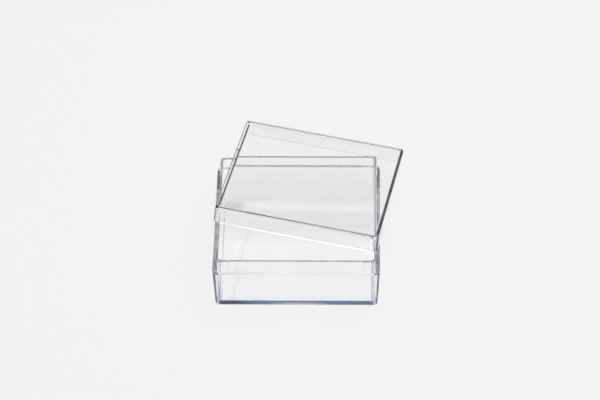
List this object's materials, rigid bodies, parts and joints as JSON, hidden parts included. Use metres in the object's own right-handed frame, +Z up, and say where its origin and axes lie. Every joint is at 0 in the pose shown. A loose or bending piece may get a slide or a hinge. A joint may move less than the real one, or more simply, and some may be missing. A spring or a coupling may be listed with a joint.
{
  "type": "cryogenic storage box",
  "caption": "Clear square plastic box with a stepped rim and a loose lift-off lid that lies askew on it, for keeping small samples in a freezer.",
  "frame": {"origin": "centre of the flat bottom of the base", "axes": "+Z up, -Y towards the front, the side that faces the camera in the picture, +X to the right"},
  "size_m": [0.1525, 0.1652, 0.074],
  "materials": {
    "clear_plastic": "polished clear"
  },
  "bodies": {
    "base": {"base": "clear_plastic"},
    "lid": {"lid": "clear_plastic"}
  },
  "joints": [
    {"name": "lid_lift", "type": "slide", "parent": "base", "child": "lid", "axis": [0, 0, 1], "range_m": [0, 0.08]}
  ]
}
